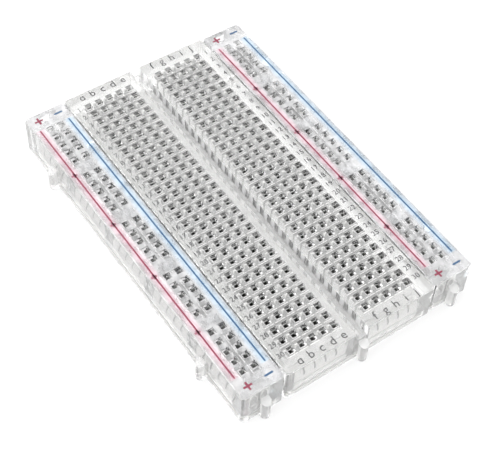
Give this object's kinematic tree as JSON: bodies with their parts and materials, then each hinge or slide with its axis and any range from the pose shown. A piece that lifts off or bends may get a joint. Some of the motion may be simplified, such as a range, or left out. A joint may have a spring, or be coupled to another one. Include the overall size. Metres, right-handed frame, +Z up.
{
  "type": "solderless breadboard",
  "caption": "Clear half-size solderless breadboard: a terminal strip with a centre channel between two bus strips, all keyed together, with sprung contacts and adhesive backing.",
  "frame": {"origin": "centre of the hole grid on the mounting surface, at the middle of the terminal strip's adhesive face", "axes": "+X across the board from column a towards column j, +Y along it towards row 1, +Z up out of the tie points"},
  "size_m": [0.0567, 0.0839, 0.0087],
  "materials": {
    "clear_plastic": "water-clear moulded plastic, lightly rippled, with red, blue and grey print on top",
    "spring_strip": "nickel-plated spring strip, semi-bright",
    "foam_tape": "white closed-cell foam",
    "liner_paper": "waxed release paper"
  },
  "bodies": {
    "right_bus_strip": {"right_bus_housing": "clear_plastic", "right_bus_positive_rail": "spring_strip", "right_bus_negative_rail": "spring_strip", "right_bus_foam_pad": "foam_tape", "right_bus_release_liner": "liner_paper"},
    "terminal_strip": {"terminal_housing": "clear_plastic", "clips_row_01": "spring_strip", "clips_row_02": "spring_strip", "clips_row_03": "spring_strip", "clips_row_04": "spring_strip", "clips_row_05": "spring_strip", "clips_row_06": "spring_strip", "clips_row_07": "spring_strip", "clips_row_08": "spring_strip", "clips_row_09": "spring_strip", "clips_row_10": "spring_strip", "clips_row_11": "spring_strip", "clips_row_12": "spring_strip", "clips_row_13": "spring_strip", "clips_row_14": "spring_strip", "clips_row_15": "spring_strip", "clips_row_16": "spring_strip", "clips_row_17": "spring_strip", "clips_row_18": "spring_strip", "clips_row_19": "spring_strip", "clips_row_20": "spring_strip", "clips_row_21": "spring_strip", "clips_row_22": "spring_strip", "clips_row_23": "spring_strip", "clips_row_24": "spring_strip", "clips_row_25": "spring_strip", "clips_row_26": "spring_strip", "clips_row_27": "spring_strip", "clips_row_28": "spring_strip", "clips_row_29": "spring_strip", "clips_row_30": "spring_strip", "terminal_foam_pad": "foam_tape", "terminal_release_liner": "liner_paper"},
    "left_bus_strip": {"left_bus_housing": "clear_plastic", "left_bus_positive_rail": "spring_strip", "left_bus_negative_rail": "spring_strip", "left_bus_foam_pad": "foam_tape", "left_bus_release_liner": "liner_paper"}
  },
  "joints": [
    {"name": "terminal_strip_lift", "type": "slide", "parent": "right_bus_strip", "child": "terminal_strip", "axis": [0, 0, 1], "range_m": [0, 0.01]},
    {"name": "left_bus_strip_lift", "type": "slide", "parent": "terminal_strip", "child": "left_bus_strip", "axis": [0, 0, 1], "range_m": [0, 0.01]}
  ]
}
